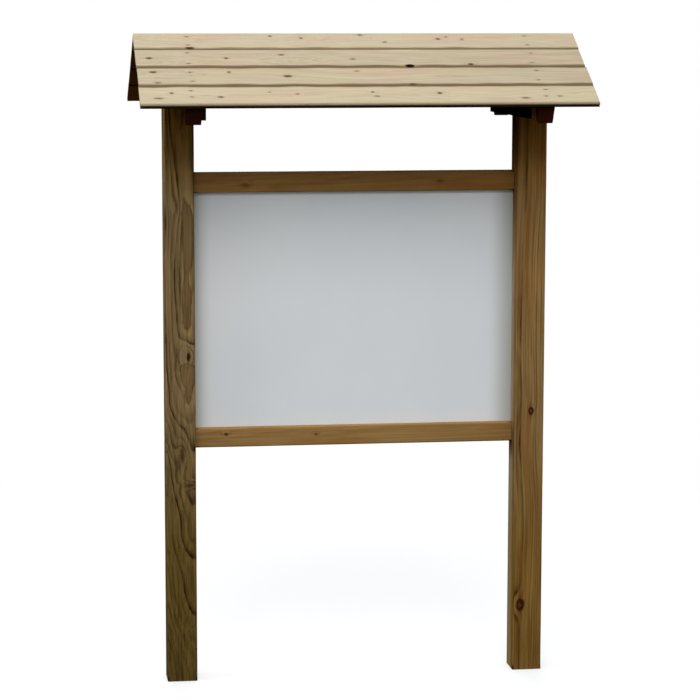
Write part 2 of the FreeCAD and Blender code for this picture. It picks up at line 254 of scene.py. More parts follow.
def wood(name, light, dark, blush, sap, knot, heart, joint, deep, foot, head, ring_width, ring_strength,
         fibre_strength, streak_strength, cloud_strength, knot_lift, wander, bump_depth):
    """Timber whose pieces carry their own place in the log, knots, stains and painted shading as
    attributes.

    The ring width, the rings' lift round knots, their wander and the depth of the bump are in metres.
    """
    g = Graph(bpy.data.materials.new(name))
    along, across, depth = g.attribute("grain")
    tint, stain_and_shading, damp_and_shade = g.attribute("look")
    ring_gain, flame = g.attribute("figure")[:2]

    def stretched(length_scale, cross_scale, detail):
        """Noise drawn out along the grain."""
        place = [g.times(along, length_scale), g.times(across, cross_scale), g.times(depth, cross_scale)]
        return g.noise(g.vector(*place), 1.0, detail)

    def swing(value, size):
        """A noise moved so that it swings about zero."""
        return g.times(g.math("SUBTRACT", value, 0.5), size)

    def bell(value, narrowness):
        """One at zero, falling away as the value grows."""
        return g.math("EXPONENT", g.times(value, -narrowness))

    def held(value, gain):
        """A value times a gain, held between zero and one."""
        return g.math("MULTIPLY", value, gain, clamp=True)

    ragged = swing(stretched(*KNOT_RIM_NOISE), KNOT_RAGGED)
    lift, core, tail, middle = 0.0, 0.0, 0.0, 0.0
    for layer in KNOT_LAYERS:
        knot_along, knot_across, tone = g.attribute(layer)
        along_square = g.times(knot_along, knot_along)
        across_square = g.times(knot_across, knot_across)
        square = g.add(along_square, across_square)
        uneven = g.add(square, ragged)
        strength = held(g.math("ABSOLUTE", tone), 1 / FULL_BEND_TONE)
        lift = g.add(lift, g.times(bell(square, BEND_NARROWNESS), strength))
        core = g.add(core, g.times(g.smooth(uneven, *KNOT_STEP), tone))
        middle = g.add(middle, g.times(g.smooth(uneven, *HEART_STEP), tone))
        drawn_out = g.times(bell(along_square, TAIL_NARROWNESS[0]), bell(across_square, TAIL_NARROWNESS[1]))
        tail = g.add(tail, g.times(drawn_out, tone))

    radius = g.math("SQRT", g.add(g.times(across, across), g.times(depth, depth)))
    radius = g.add(radius, g.times(lift, knot_lift))
    for scales, share in ((SLOW_NOISE, 1.0), (QUICK_NOISE, QUICK_SHARE), (FINE_NOISE, FINE_SHARE)):
        radius = g.add(radius, swing(stretched(*scales), share * wander))
    phase = g.math("DIVIDE", radius, ring_width)
    count = g.node("ShaderNodeTexWhiteNoise", noise_dimensions="1D")
    g.link(g.math("FLOOR", phase), count.inputs["W"])
    late = g.ramp(g.math("FRACT", phase), RING_SHADE)
    late = g.times(late, g.smooth(count.outputs["Value"], 0.0, 1.0, FAINTEST_RING, 1.0))
    late = g.times(late, g.smooth(stretched(*PATCH_NOISE), *PATCH_STEP, FAINTEST_PATCH, 1.0))
    late = held(late, g.times(ring_gain, ring_strength))

    fibre = stretched(*FIBRE_NOISE)
    colour = g.mix(late, light, dark)
    for scales, step, patch in ((BLUSH_NOISE, BLUSH_STEP, blush), (SAP_NOISE, SAP_STEP, sap)):
        colour = g.mix(g.times(g.smooth(stretched(*scales), *step), cloud_strength), colour, patch)
    torn_flame = g.add(flame, swing(stretched(*TORN_NOISE), TORN_SIZE))
    colour = g.mix(g.times(g.smooth(torn_flame, *FLAME_STEP), FLAME_SHARE), colour, blush)
    rim = g.times(g.smooth(torn_flame, *RIM_RISE), g.smooth(torn_flame, *RIM_FALL))
    colour = g.mix(g.times(rim, RIM_SHARE), colour, dark)
    shade = g.add(swing(fibre, fibre_strength), tint)
    shade = g.add(shade, swing(stretched(*STREAK_NOISE), streak_strength))
    scale = g.node("ShaderNodeVectorMath", operation="SCALE")
    g.link(colour, scale.inputs[0])
    g.link(shade, scale.inputs["Scale"])
    colour = scale.outputs[0]

    # Stain takes the joint colour: dirt with painted shade in the roof's joints, greyed sapwood with
    # painted light on the posts' inner faces, painted light on the tie boards' ends. A knot with a tone
    # below zero is a pale one, in the colour of the sapwood
    colour = g.mix(g.smooth(stain_and_shading, *JOINT_STEP), colour, joint)
    colour = g.mix(held(tail, TAIL_SHARE), colour, dark)
    colour = g.mix(held(core, KNOT_SHARE), colour, knot)
    colour = g.mix(held(core, -1.0), colour, sap)
    colour = g.mix(held(middle, HEART_SHARE), colour, heart)
    colour = g.mix(g.smooth(core, *DEEP_KNOT), colour, deep)

    # Above zero takes the tone of the foot: damp on the posts, painted shade on the top rail and tie
    # boards.
    # Below zero takes that of the head: painted shade under the roof, on the posts and the boards'
    # undersides
    colour = g.mix(held(damp_and_shade, 1.0), colour, foot, "MULTIPLY")
    colour = g.mix(held(damp_and_shade, -1.0), colour, head, "MULTIPLY")
    # Strongest stain: dirt with painted shade deep in the roof's joints, painted shade on the eave's lower
    # edge
    colour = g.mix(g.smooth(stain_and_shading, *DEEP_STAIN_AND_SHADE), colour, deep)

    roughness = g.smooth(g.add(fibre, late), *ROUGHNESS_STEP, *WOOD_ROUGHNESS)
    height = g.add(g.times(late, RING_RELIEF), g.times(core, KNOT_RELIEF))
    height = g.add(g.times(fibre, FIBRE_RELIEF), height)
    return g.finish(colour, roughness, height, bump_depth, Specular_IOR_Level=0.0)


LEFT_POST_WOOD = wood(
    "left_post_wood", light=srgb(128, 105, 71), dark=srgb(46, 31, 8), blush=srgb(96, 74, 46),
    sap=srgb(123, 105, 73), knot=srgb(40, 21, 6), heart=srgb(48, 29, 12), joint=srgb(150, 134, 98),
    deep=srgb(24, 15, 5), foot=srgb(208, 203, 158), head=srgb(200, 165, 0), ring_width=0.0062,
    ring_strength=1.0, fibre_strength=0.8, streak_strength=1.6, cloud_strength=0.4, knot_lift=0.012,
    wander=0.013, bump_depth=0.0004,
)
RIGHT_POST_WOOD = wood(
    "right_post_wood", light=srgb(140, 110, 67), dark=srgb(66, 38, 12), blush=srgb(128, 88, 46),
    sap=srgb(140, 115, 70), knot=srgb(46, 17, 5), heart=srgb(104, 62, 38), joint=srgb(184, 167, 142),
    deep=srgb(24, 13, 4), foot=srgb(234, 226, 192), head=srgb(200, 160, 0), ring_width=0.0052,
    ring_strength=1.0, fibre_strength=0.5, streak_strength=1.5, cloud_strength=0.6, knot_lift=0.006,
    wander=0.003, bump_depth=0.0004,
)
RAIL_WOOD = wood(
    "rail_wood", light=srgb(153, 119, 71), dark=srgb(108, 73, 33), blush=srgb(138, 98, 50),
    sap=srgb(150, 122, 74), knot=srgb(60, 33, 14), heart=srgb(84, 50, 26), joint=srgb(52, 36, 18),
    deep=srgb(30, 20, 10), foot=srgb(208, 170, 114), head=srgb(130, 110, 84), ring_width=0.004,
    ring_strength=0.6, fibre_strength=0.35, streak_strength=0.8, cloud_strength=0.5, knot_lift=0.006,
    wander=0.01, bump_depth=0.0003,
)
ROOF_WOOD = wood(
    "roof_wood", light=srgb(187, 173, 147), dark=srgb(152, 130, 98), blush=srgb(191, 161, 140),
    sap=srgb(187, 178, 141), knot=srgb(100, 79, 56), heart=srgb(56, 40, 26), joint=srgb(118, 100, 75),
    deep=srgb(34, 22, 10), foot=srgb(196, 195, 192), head=srgb(132, 90, 46), ring_width=0.0034,
    ring_strength=0.3, fibre_strength=0.3, streak_strength=0.45, cloud_strength=0.5, knot_lift=0.005,
    wander=0.012, bump_depth=0.0003,
)
# Rafter wood: near black, as painted shade under the roof; its foot tone darkens the tie boards as painted
# shade
RAFTER_WOOD = wood(
    "rafter_wood", light=srgb(56, 23, 15), dark=srgb(34, 12, 7), blush=srgb(50, 17, 11),
    sap=srgb(54, 26, 16), knot=srgb(24, 12, 8), heart=srgb(20, 10, 6), joint=srgb(92, 57, 32),
    deep=srgb(18, 10, 8), foot=srgb(96, 128, 140), head=srgb(150, 130, 100), ring_width=0.0045,
    ring_strength=0.8, fibre_strength=0.3, streak_strength=0.3, cloud_strength=0.5, knot_lift=0.006,
    wander=0.012, bump_depth=0.0003,
)


# Panel sheet: noise scales per metre, and the reach and strength of the painted shade beside the posts at
# each end
panel_low, panel_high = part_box("notice_panel")
SHEET_CLOUD_SCALE = 2.2
SHEET_CLOUD_STEP = (0.35, 0.7)
SHEET_ROUGHNESS_STEP = (0.3, 0.7)
SHEET_ROUGHNESS = (0.42, 0.5)
SPECKLE_SCALE = 900.0
SPECKLE_SHARE = 0.06
SPECKLE_BUMP = 0.05 * MM
PANEL_SHADE_REACH = {"left": 70 * MM, "right": 90 * MM}
PANEL_SHADE_STRENGTH = {"left": 0.8, "right": 1.0}
PANEL_SHADE_FULL = 10 * MM


def panel_sheet():
    """Smooth pale sheet with a faint cloudiness, fine grain and a little painted shade towards the posts.
    """
    g = Graph(bpy.data.materials.new("panel_sheet"))
    place = g.node("ShaderNodeTexCoord").outputs["Object"]
    cloud = g.noise(place, SHEET_CLOUD_SCALE, 3.0)
    speckle = g.noise(place, SPECKLE_SCALE, 2.0)
    colour = g.mix(g.smooth(cloud, *SHEET_CLOUD_STEP), srgb(224, 226, 228), srgb(219, 222, 226))
    colour = g.mix(g.times(speckle, SPECKLE_SHARE), colour, srgb(190, 194, 198))
    along = g.parts(place)[0]
    edge_shade = 0.0
    for side, end in (("left", panel_low.x), ("right", panel_high.x)):
        inward = -SIDES[side]
        start, full = end + inward * PANEL_SHADE_REACH[side], end + inward * PANEL_SHADE_FULL
        edge_shade = g.add(edge_shade, g.smooth(along, start, full, 0.0, PANEL_SHADE_STRENGTH[side]))
    # Painted shade: a darker grey band where the posts shade the sheet's ends
    colour = g.mix(edge_shade, colour, srgb(174, 176, 172))
    roughness = g.smooth(cloud, *SHEET_ROUGHNESS_STEP, *SHEET_ROUGHNESS)
    return g.finish(colour, roughness, speckle, SPECKLE_BUMP, Specular_IOR_Level=0.4)


# Steel of the nails and screws
MOTTLE_SCALE = 420.0
MOTTLE_STEP = (0.35, 0.65)
MOTTLE_BUMP = 0.06 * MM
STEEL_ROUGHNESS_STEP = (0.3, 0.7)
STEEL_ROUGHNESS = (0.45, 0.7)


def nail_steel(name, bright, dull, metallic, specular):
    """Mottled steel: weathered on the roof nails and screws, dark and dull as painted shade on the tie
    nails.
    """
    g = Graph(bpy.data.materials.new(name))
    place = g.node("ShaderNodeTexCoord").outputs["Object"]
    mottle = g.noise(place, MOTTLE_SCALE, 3.0)
    colour = g.mix(g.smooth(mottle, *MOTTLE_STEP), bright, dull)
    roughness = g.smooth(mottle, *STEEL_ROUGHNESS_STEP, *STEEL_ROUGHNESS)
    return g.finish(colour, roughness, mottle, MOTTLE_BUMP, Metallic=metallic, Specular_IOR_Level=specular)


PANEL_SHEET = panel_sheet()
DULL_STEEL = nail_steel("dull_steel", srgb(150, 140, 124), srgb(104, 92, 78), metallic=0.7, specular=0.5)
# Tie nails: dark, dull steel as painted shade under the roof
SHADED_STEEL = nail_steel("shaded_steel", srgb(40, 26, 20), srgb(28, 17, 13), metallic=0.0, specular=0.0)


# Timber meshes: a finer copy of each solid, with eased edges and a little unevenness
EASED_EDGE = 0.8 * MM
SHORT_EDGE = 8 * MM
UNEVEN = 0.5 * MM
WELD = 0.01 * MM
CUT_TOLERANCE = 0.001 * MM
FLAT_ANGLE = math.radians(1)
SHARP_ANGLE = math.radians(30)

# Knots are place along and across, half length and half height in millimetres, and tone
KNOT_REACH = 3.4
LAYER_GAP = 1.3 * KNOT_REACH
FAR_KNOT = (0.0, -9000.0, 8.0, 8.0, 0.0)

# Place in the log in metres, and noise scales per millimetre for the pith's sway and the wear
LOG_LENGTH = 40
SWAY_SIZE = 6.0
SWAY_SCALE = 0.0015
ROLL_LAYER = 7
WEAR_ALONG = 0.009
WEAR_ACROSS = 0.04


def cut_through(mesh, place, axis):
    everything = mesh.verts[:] + mesh.edges[:] + mesh.faces[:]
    bmesh.ops.bisect_plane(mesh, geom=everything, plane_co=place, plane_no=axis, dist=CUT_TOLERANCE)


def solid_mesh(node):
    """Mesh of a solid, with the corners of its faces joined."""
    mesh = bmesh.new()
    mesh.from_mesh(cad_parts[node].data)
    bmesh.ops.remove_doubles(mesh, verts=mesh.verts[:], dist=WELD)
    return mesh


def fine_copy(node, axes, spacings, extra_cuts):
    """Copy of a solid's mesh with eased edges, cut into a grid along its own axes."""
    mesh = solid_mesh(node)
    bmesh.ops.dissolve_limit(mesh, angle_limit=FLAT_ANGLE, verts=mesh.verts[:], edges=mesh.edges[:])
    sharp = [
        edge for edge in mesh.edges
        if len(edge.link_faces) == 2 and edge.is_convex and edge.calc_length() > SHORT_EDGE
        and edge.calc_face_angle() > SHARP_ANGLE
    ]
    bmesh.ops.bevel(
        mesh, geom=sharp, offset=EASED_EDGE, offset_type="OFFSET", segments=2, profile=0.5,
        affect="EDGES", clamp_overlap=True,
    )
    for axis, spacing in zip(axes, spacings):
        reach = [vertex.co.dot(axis) for vertex in mesh.verts]
        low, high = min(reach), max(reach)
        steps = round((high - low) / spacing)
        for step in range(1, steps):
            place = axis * (low + (high - low) * step / steps)
            cut_through(mesh, place, axis)
    for place, axis in extra_cuts:
        cut_through(mesh, place, axis)
    return mesh


def nearest_knot(along, across, knots):
    """Place of a point seen from its nearest knot, in knot sizes, and the knot's tone within its reach."""
    best, found = None, None
    for knot_along, knot_across, length, height, tone in (*knots, FAR_KNOT):
        place = ((along - knot_along) / length, (across - knot_across) / height)
        distance = math.hypot(*place)
        if best is None or distance < best:
            best, found = distance, (*place, tone if distance < KNOT_REACH else 0.0)
    return found


def knot_gap(one, other):
    """Distance between two knots, in their joint sizes."""
    along = (one[0] - other[0]) / (one[2] + other[2])
    across = (one[1] - other[1]) / (one[3] + other[3])
    return math.hypot(along, across)


def share_knots(knots):
    """Knots shared between layers, so that those of one layer stand well apart."""
    layers = {layer: [] for layer in KNOT_LAYERS}
    for knot in knots:
        for layer in layers.values():
            if all(knot_gap(knot, other) > LAYER_GAP for other in layer):
                layer.append(knot)
                break
    return layers


def pith_at(path, along):
    """Pith of the log at a distance along the piece, eased between the points of its path."""
    if along <= path[0][0]:
        return path[0][1:]
    for (start, *first), (end, *second) in zip(path, path[1:]):
        if along <= end:
            share = (along - start) / (end - start)
            share = share * share * (3 - 2 * share)
            return [one + (two - one) * share for one, two in zip(first, second)]
    return path[-1][1:]


def everywhere(value):
    """A look that is the same all over a piece."""
    return lambda along, across, depth: value


NOWHERE = everywhere(0.0)
PLAIN = everywhere(1.0)


def new_piece(name, mesh, material):
    """Visible piece that rides on the board's one body, made from a finished mesh and shaded smooth."""
    data = bpy.data.meshes.new(name)
    mesh.to_mesh(data)
    mesh.free()
    data.polygons.foreach_set("use_smooth", [True] * len(data.polygons))
    data.materials.append(material)
    piece = bpy.data.objects.new(name, data)
    bpy.context.scene.collection.objects.link(piece)
    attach(piece, "root")
    return piece


def timber(node, material, origin, along, across, spacings, pith, seed, knots=(), extra_cuts=(),
           sway_size=SWAY_SIZE, tint=PLAIN, stain_and_shading=NOWHERE, damp_and_shade=NOWHERE, gain=PLAIN, flame=NOWHERE,
           knot_fade=PLAIN, end_trim=NOWHERE):
    """Dressed piece for one solid, with its own axes along, across and into it from the origin.

    Each look is a function of the place along, across and deep in the piece, in millimetres.
    """
    axes = (along, across, along.cross(across))
    cuts = [(origin + across * cut * MM, across) for cut in extra_cuts]
    mesh = fine_copy(node, axes, [spacing * MM for spacing in spacings], cuts)
    shift = random.Random(seed).uniform(0, LOG_LENGTH)
    mesh.normal_update()
    normals = [vertex.normal.copy() for vertex in mesh.verts]
    layers = share_knots(knots)
    rows = {key: [] for key in ("grain", "look", "figure", *layers)}
    for vertex, normal in zip(mesh.verts, normals):
        place = (vertex.co - origin) / MM
        spot = [place.dot(axis) for axis in axes]
        run, width, depth = spot
        pith_across, pith_depth = pith_at(pith, run)
        sway = sway_size * noise.noise(Vector((run * SWAY_SCALE + shift, shift, 0)))
        roll = sway_size * noise.noise(Vector((run * SWAY_SCALE, shift, ROLL_LAYER)))
        in_log = (run * MM + shift, (width - pith_across + sway) * MM, (depth - pith_depth + roll) * MM)
        rows["grain"].append(in_log)
        for layer, share in layers.items():
            knot_along, knot_across, tone = nearest_knot(run, width, share)
            rows[layer].append((knot_along, knot_across, tone * knot_fade(*spot)))
        rows["look"].append((tint(*spot), stain_and_shading(*spot), damp_and_shade(*spot)))
        rows["figure"].append((gain(*spot), flame(*spot), 0.0))
        wear_place = Vector((run * WEAR_ALONG + shift, width * WEAR_ACROSS, depth * WEAR_ACROSS))
        vertex.co -= normal * UNEVEN * (0.5 + 0.5 * noise.noise(wear_place))
        vertex.co += along * end_trim(*spot) * MM
    piece = new_piece(f"{node}_timber", mesh, material)
    for key, values in rows.items():
        layer = piece.data.attributes.new(key, "FLOAT_VECTOR", "POINT")
        layer.data.foreach_set("vector", [number for row in values for number in row])
    weighted = piece.modifiers.new("even_shading", "WEIGHTED_NORMAL")
    weighted.keep_sharp = False
    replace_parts(piece, node)
    return piece


# Posts: each pith path runs up the post as height, place across and depth behind the front face
POST_KNOTS = {
    "left": [
        (1000, 11, 22, 9, -0.9), (993, 24, 13, 7, 0.95), (1442, -7, 20, 6, 0.2), (700, 4, 26, 9, 0.45),
        (604, 30, 7, 17, 0.4),
    ],
    "right": [(809, 5, 12, 8, 1.2), (205, -22, 19, 13, 1.1)],
}
POST_PITH = {
    "left": [
        (0, 46, 146), (300, 44, 118), (480, 40, 104), (650, 34, 91), (760, 24, 83), (860, 14, 74),
        (980, 18, 66), (1085, 20, 61), (1240, 21, 58), (1390, 22, 60), (1490, 14, 63), (1750, 4, 58),
    ],
    "right": [
        (0, -41, 54.3), (160, -39, 54.3), (300, -35, 54.5), (480, -32, 54.2), (710, -42, 54.4),
        (840, -38, 54.3), (1050, -43, 54.2), (1250, -42, 54.4), (1500, -33, 54.2), (1750, -30, 54.3),
    ],
}

# Flames of heartwood on a post's face, each as height, middle across and half width
POST_FLAMES = {
    "left": [
        [
            (1067, 19, 0), (1094, 20, 12), (1182, 21, 13), (1226, 18, 7), (1242, 20, 7), (1295, 26, 15),
            (1340, 25, 16), (1422, 24, 17), (1467, 14, 0),
        ],
        [(842, 24, 0), (867, 25, 6), (890, 26, 10), (920, 23, 19), (953, 22, 23), (962, 22, 23)],
    ],
    "right": [],
}
FLAME_EDGE = 9
POST_WOOD = {"left": LEFT_POST_WOOD, "right": RIGHT_POST_WOOD}
POST_SEED = {"left": 11, "right": 12}
POST_SPACING = (20, 7.5, 15)
POST_SWAY = {"left": 3.0, "right": 0.0}

# Heights over which each look on the posts comes in
DAMP_RISE = {"left": (880, 430), "right": (720, 380)}
LOW_DARK_BELOW = (300, 100)
FAINT_FOOT = (500, 700)
PALE_BAND = (840, 1480)
GREYED_AND_LIT_BELOW = (1500, 1200)
LIGHT_LIFT_ABOVE = (1450, 1545)
DARK_ABOVE = (1545, 1815)
SHADE_ABOVE = (1370, 1600)
SHELTER_ABOVE = (1455, 1725)

# Places across from a post's middle, and depths behind its front, over which each look comes in
SHADED_FACE = (40, 44)
INNER_EDGE_FACE = (41, 44.5)
OUTER_FACE = (38, 44)
PALE_ACROSS = (0, 12)
CALM_ACROSS = (-12, 4)
GREYED_AND_LIT_DEPTH = (8, 38)

# Darker round the end of the bottom rail: below its top, past its foot and behind the post's front
RAIL_END_DARK_TOP = 25
RAIL_END_DARK_FOOT = (60, 15)
RAIL_END_DARK_DEPTH = (5, 40)

# Strengths of the looks on the posts
STRONG_RINGS = 1.3
CALM_RINGS = {"left": 1.2, "right": 0.55}
FOOT_RINGS = 0.95
GREYED_AND_LIT = 0.68
SHELTERED = 0.9
SHELTER_LOST_OUTSIDE = 0.55
SHELTER_CURVE = 0.6
SHADE_WARMTH = 0.2
SHADE_DARK = 0.7
JOINT_DARK = 0.45
LIGHT_LIFT = 0.5
TOP_DARK = 0.72
PALE_SIDE = {"left": 0.2, "right": 0.0}
FOOT_DARK = {"left": 0.18, "right": 0.02}


def make_post(side, sign):
    low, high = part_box(f"{side}_post")
    rail_low, rail_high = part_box("bottom_rail")
    origin = Vector(((low.x + high.x) / 2, low.y, 0))
    post_depth = (high.y - low.y) / MM
    rail_foot = rail_low.z / MM
    rail_top = rail_high.z / MM
    dark_foot = [rail_foot - below for below in RAIL_END_DARK_FOOT]

    def inner_shade(height, across):
        """Share of the painted shade on the inner face under the roof."""
        return portion(-sign * across, *SHADED_FACE) * portion(height, *SHADE_ABOVE)

    def rail_end_dark(height, across, depth):
        """Share of the dark on the inner face, at the end of the bottom rail and just below it."""
        level = portion(height, rail_top, rail_top - RAIL_END_DARK_TOP) * portion(height, *dark_foot)
        return level * portion(-sign * across, *INNER_EDGE_FACE) * portion(depth, *RAIL_END_DARK_DEPTH)

    def tone(height, across, depth):
        """Olive towards the foot; painted shade under the roof, warm, most on the inner face and least on
        the outer.
        """
        sheltered = SHELTERED - SHELTER_LOST_OUTSIDE * portion(sign * across, *OUTER_FACE)
        sheltered *= portion(height, *SHELTER_ABOVE) ** SHELTER_CURVE
        return portion(height, *DAMP_RISE[side]) - sheltered - SHADE_WARMTH * inner_shade(height, across)

    def greyed_and_lit(height, across, depth):
        """Greyed sapwood with painted light from the left on the inner faces, behind the front edge and
        below the roof's shelter.
        """
        inside = portion(-sign * across, *INNER_EDGE_FACE) * portion(depth, *GREYED_AND_LIT_DEPTH)
        # Greyed sapwood with painted light from the left, in the post's pale joint colour
        return GREYED_AND_LIT * portion(height, *GREYED_AND_LIT_BELOW) * inside * (1 - rail_end_dark(height, across, depth))

    def tint(height, across, depth):
        """Darker just above the ground, painted light below the roof and painted shade close to it."""
        low_dark = FOOT_DARK[side] * portion(height, *LOW_DARK_BELOW)
        # Painted light below the roof's cast shadow, then painted shade close under the roof
        painted_lift = LIGHT_LIFT * portion(height, *LIGHT_LIFT_ABOVE) - TOP_DARK * portion(height, *DARK_ABOVE)
        in_band = PALE_BAND[0] < height < PALE_BAND[1]
        pale = PALE_SIDE[side] * portion(across, *PALE_ACROSS) if in_band else 0.0
        dark = SHADE_DARK * inner_shade(height, across) + JOINT_DARK * rail_end_dark(height, across, depth)
        return 1.0 - low_dark + painted_lift + pale - dark

    def flame(height, across, depth):
        """Brown heartwood where the face cuts through the rings, over a half inside each outline."""
        inside = 0.0
        for path in POST_FLAMES[side]:
            if path[0][0] < height < path[-1][0]:
                middle, half_width = pith_at(path, height)
                inside = max(inside, 0.5 + (half_width - abs(across - middle)) / FLAME_EDGE)
        return inside * front_and_back(height, across, depth)

    def front_and_back(height, across, depth):
        """Knots and flames show on the front and back faces and fade on the way through."""
        return (1 - 2 * depth / post_depth) ** 2

    def rings(height, across, depth):
        """Strong rings where the face lies along them, calmer ones beside, fainter at the foot."""
        strong = STRONG_RINGS + (CALM_RINGS[side] - STRONG_RINGS) * portion(across, *CALM_ACROSS)
        return strong * (FOOT_RINGS + (1 - FOOT_RINGS) * portion(height, *FAINT_FOOT))

    piece = timber(
        f"{side}_post", POST_WOOD[side], origin, UP, ALONG_X, POST_SPACING, POST_PITH[side],
        POST_SEED[side], knots=POST_KNOTS[side], sway_size=POST_SWAY[side], tint=tint, stain_and_shading=greyed_and_lit,
        damp_and_shade=tone, gain=rings, flame=flame, knot_fade=front_and_back,
    )


for side, sign in SIDES.items():
    make_post(side, sign)

# Rails: along from the middle of the board, up from the rail's foot
RAIL_KNOTS = {
    "top": [(-330, 22, 14, 6, 0.4), (260, 30, 12, 6, 0.35)],
    "bottom": [(-392, 40, 6, 4.5, 0.9), (-118, 34, 6, 5, 0.6)],
}
RAIL_SEED = {"top": 21, "bottom": 22}
RAIL_SPACING = (30, 12, 12)
RAIL_HALF = 500
RAIL_PITH = [(-RAIL_HALF, 12, -76), (RAIL_HALF, 26, -64)]
TOP_RAIL_TINT = 1.06
TOP_RAIL_PALE_ENDS = 0.2
# Top rail: painted shade below the roof, stronger towards the right end
TOP_RAIL_SHADE = 0.36
TOP_RAIL_SHADE_END = 0.25
# Bottom rail: painted highlight along its rounded upper edge, painted shade along its lower edge
LIT_EDGE = (49, 56)
EDGE_HIGHLIGHT = 0.3
UNDER_EDGE = (5, 1)
UNDER_DARK = 0.45
BOTTOM_RAIL_DARK_END = 0.12
RAIL_CUTS = (UNDER_EDGE[0], *LIT_EDGE)


def to_right_end(along):
    """Share of the way from the middle of a rail to its right end."""
    return max(0.0, along / RAIL_HALF)


def top_rail_tint(along, up, depth):
    """A little paler towards the ends."""
    return TOP_RAIL_TINT + TOP_RAIL_PALE_ENDS * (along / RAIL_HALF) ** 2


def top_rail_shade(along, up, depth):
    """Painted shade below the roof, warm and dark, more so towards the right end."""
    return TOP_RAIL_SHADE + TOP_RAIL_SHADE_END * to_right_end(along)


def bottom_rail_tint(along, up, depth):
    """Painted highlight along the upper edge, painted shade under the lower one, and darker towards the
    right end.
    """
    edge_light_and_shade = EDGE_HIGHLIGHT * portion(up, *LIT_EDGE) - UNDER_DARK * portion(up, *UNDER_EDGE)
    return 1.0 + edge_light_and_shade - BOTTOM_RAIL_DARK_END * to_right_end(along)


def make_rail(name, tint, damp_and_shade):
    low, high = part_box(f"{name}_rail")
    piece = timber(
        f"{name}_rail", RAIL_WOOD, Vector((0, high.y, low.z)), ALONG_X, UP, RAIL_SPACING, RAIL_PITH,
        RAIL_SEED[name], knots=RAIL_KNOTS[name], extra_cuts=RAIL_CUTS, tint=tint, damp_and_shade=damp_and_shade,
    )


make_rail("top", top_rail_tint, top_rail_shade)
make_rail("bottom", bottom_rail_tint, NOWHERE)


# Roof boards: across runs down the slope and depth runs into the board
FRONT_KNOTS = {
    1: [
        (-500, 87, 13, 7, 1.5), (-258, 17, 7, 6, 0.7), (-167, 29, 6, 6, 0.8), (12, 11, 9, 6, 0.7),
        (81, 53, 8, 6, 0.6), (244, 35, 7, 7, 0.9), (270, 23, 6, 5, 0.5), (316, 38, 5, 8, 0.5),
    ],
    2: [
        (-622, 53, 11, 7, 0.9), (-399, 54, 7, 6, 0.9), (-236, 34, 11, 6, 0.8), (-27, 60, 9, 5, 0.6),
        (137, 99, 13, 7, 3.2), (319, 92, 9, 7, 1.1),
    ],
    3: [
        (-616, 28, 12, 7, 1.0), (-606, 88, 11, 6, 0.6), (-397, 29, 6, 6, 0.8), (-229, 53, 13, 8, 1.0),
        (-24, 25, 9, 5, 0.5), (130, 100, 13, 6, 0.8),
    ],
    4: [
        (-570, 41, 7, 6, 0.8), (-608, 70, 15, 6, 0.7), (-432, 64, 10, 6, 0.8), (-290, 37, 6, 5, 0.5),
        (-211, 49, 7, 5, 0.5), (7, 39, 6, 5, 0.8), (17, 62, 8, 5, 0.6), (201, 46, 8, 7, 0.9),
        (448, 75, 14, 5, 0.8), (550, 65, 9, 6, 0.5),
    ],
}

# Knots of the boards that the photograph doesn't show: places and spreads, then ranges of size and tone
HIDDEN_KNOTS = 7
HIDDEN_START = -560
HIDDEN_STEP = 180
HIDDEN_SPREAD = 60
HIDDEN_MARGIN = 15
HIDDEN_LENGTH = (6, 12)
HIDDEN_HEIGHT = (5, 7)
HIDDEN_TONE = (0.5, 1)


def scattered_knots(seed, cover):
    """Knots of a board that the photograph doesn't show."""
    draw = random.Random(seed)
    spread = (-HIDDEN_SPREAD, HIDDEN_SPREAD)
    across = (HIDDEN_MARGIN, cover - HIDDEN_MARGIN)
    knots = []
    for step in range(HIDDEN_KNOTS):
        place = HIDDEN_START + HIDDEN_STEP * step + draw.uniform(*spread)
        ranges = (across, HIDDEN_LENGTH, HIDDEN_HEIGHT, HIDDEN_TONE)
        knots.append((place, *[draw.uniform(*limits) for limits in ranges]))
    return knots


# Boards: grid of the mesh, seeds, and the tone of each course and its knots
BOARD_SPACING = (12, 12, 7)
BOARD_SEED = 40
COURSE_SEED = 10
BOARD_TINT = {1: 1.0, 2: 0.925, 3: 0.935, 4: 1.01}
BOARD_FADE = {1: 0.01, 2: 0.05, 3: 0.05, 4: 0.02}
KNOT_TONE = 0.8

# Pith of a board: points along it, then the ranges across and deep that each is drawn from
BOARD_PITH_START = -700
BOARD_PITH_STEP = 350
BOARD_PITH_POINTS = 5
BOARD_PITH_ACROSS = (20, 85)
BOARD_PITH_DEPTH = (40, 70)

# Dirt and painted shade: at each joint below a course, spread over the boards above and below it, and under
# the eave
JOINT_EDGE = 5.2
JOINT_SPREAD = 9
JOINT_DIRT_AND_SHADE = {1: 0.6, 2: 1.0, 3: 1.0}
DIRT_AND_SHADE_ABOVE = {1: 0.9, 2: 1.5, 3: 1.1}
DIRT_AND_SHADE_BELOW = {1: 0.4, 2: 1.0, 3: 1.5}
JOINT_FACE_DIRT_AND_SHADE = 0.7
EAVE_UNSHADED_DEPTH = 2.5
END_DARKENING = 0.4
TOP_SKIN = 1
UNDERSIDE = BOARD_THICKNESS - 1.5
PATCHY_SCALE = 0.012
PATCHY_LAYER = 3
EAVE_GREY = (8, 3)
CUT_BESIDE = 0.2

# Board ends: how far short each is cut, and the stretch over which it eases back
END_SHORT = (0.3, 3.0)
END_STRETCH = 60

# Nails: steps down each course, how far each strays, and the smudge round it as a knot's sizes and tone
NAIL_STEPS = {1: (18, 70), 2: (24, 80), 3: (26, 80), 4: (26, 66)}
NAIL_STRAY_ALONG = 6
NAIL_STRAY_DOWN = 4
NAIL_SMUDGE = (9, 4.5, 0.35)


